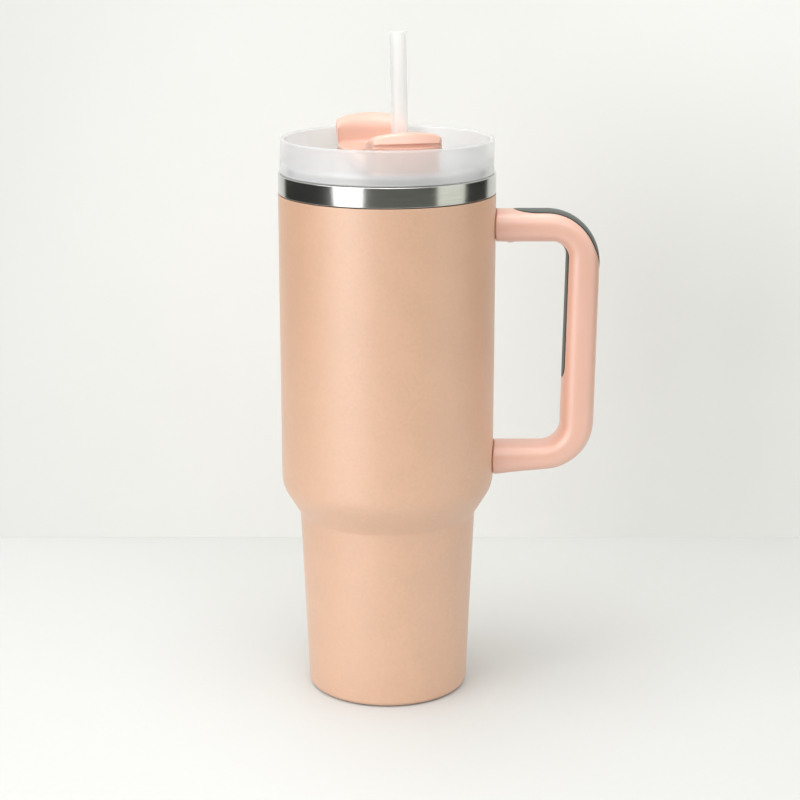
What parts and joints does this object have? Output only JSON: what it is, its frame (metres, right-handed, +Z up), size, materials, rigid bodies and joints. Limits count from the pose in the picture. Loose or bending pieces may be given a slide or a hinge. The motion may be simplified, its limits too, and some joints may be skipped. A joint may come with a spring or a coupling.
{
  "type": "insulated tumbler with handle, straw lid and straw",
  "caption": "Tall insulated steel tumbler with a narrowed foot, side handle with soft grips, screw-in frosted lid, turning lid cover and straw.",
  "frame": {"origin": "on the tumbler's axis, in the plane that its foot stands on", "axes": "+Z up along the tumbler's axis, +X towards the handle's grip, -Y the side from which the handle is seen on the right"},
  "size_m": [0.1503, 0.1012, 0.3155],
  "materials": {
    "powder_coat": "matte, fine-grained powder coat over steel",
    "brushed_steel": "brushed round the tumbler",
    "seal_metal": "dull sintered metal",
    "peach_plastic": "satin moulded plastic",
    "grey_grip": "soft matte rubber",
    "frosted_plastic": "frosted translucent plastic",
    "straw_plastic": "frosted translucent plastic tube",
    "clear_silicone": "milky silicone",
    "fastener_steel": "plain stainless"
  },
  "bodies": {
    "vessel": {"outer_shell": "powder_coat", "inner_liner": "brushed_steel", "outer_base": "brushed_steel", "base_disc": "brushed_steel", "vacuum_seal": "seal_metal", "getter": "seal_metal", "handle_body": "peach_plastic", "thumb_grip": "grey_grip", "finger_grip": "grey_grip", "upper_bracket": "brushed_steel", "upper_screw": "fastener_steel", "upper_screw_plug": "peach_plastic", "lower_bracket": "brushed_steel", "lower_screw": "fastener_steel", "lower_screw_plug": "peach_plastic"},
    "gasket": {"lid_gasket": "clear_silicone"},
    "lid": {"lid_body": "frosted_plastic", "straw_grommet": "clear_silicone", "vent_valve": "clear_silicone"},
    "cover": {"rotating_cover": "peach_plastic", "sip_seal_pad": "clear_silicone", "cover_pivot_pin": "fastener_steel", "pivot_clip": "fastener_steel"},
    "straw": {"straw": "straw_plastic", "straw_stopper": "clear_silicone"}
  },
  "joints": [
    {"name": "lid_lift", "type": "slide", "parent": "vessel", "child": "gasket", "axis": [0, 0, 1], "range_m": [0, 0.25]},
    {"name": "lid_turn", "type": "hinge", "parent": "gasket", "child": "lid", "pos_m": [0, 0, 0.25], "axis": [0, 0, 1], "range_deg": [0, 360]},
    {"name": "cover_turn", "type": "hinge", "parent": "lid", "child": "cover", "pos_m": [0, 0, 0.26], "axis": [0, 0, 1], "range_deg": [0, 180]},
    {"name": "straw_slide", "type": "slide", "parent": "lid", "child": "straw", "axis": [-0.0218, 0, 0.9998], "range_m": [0, 0.21]}
  ]
}
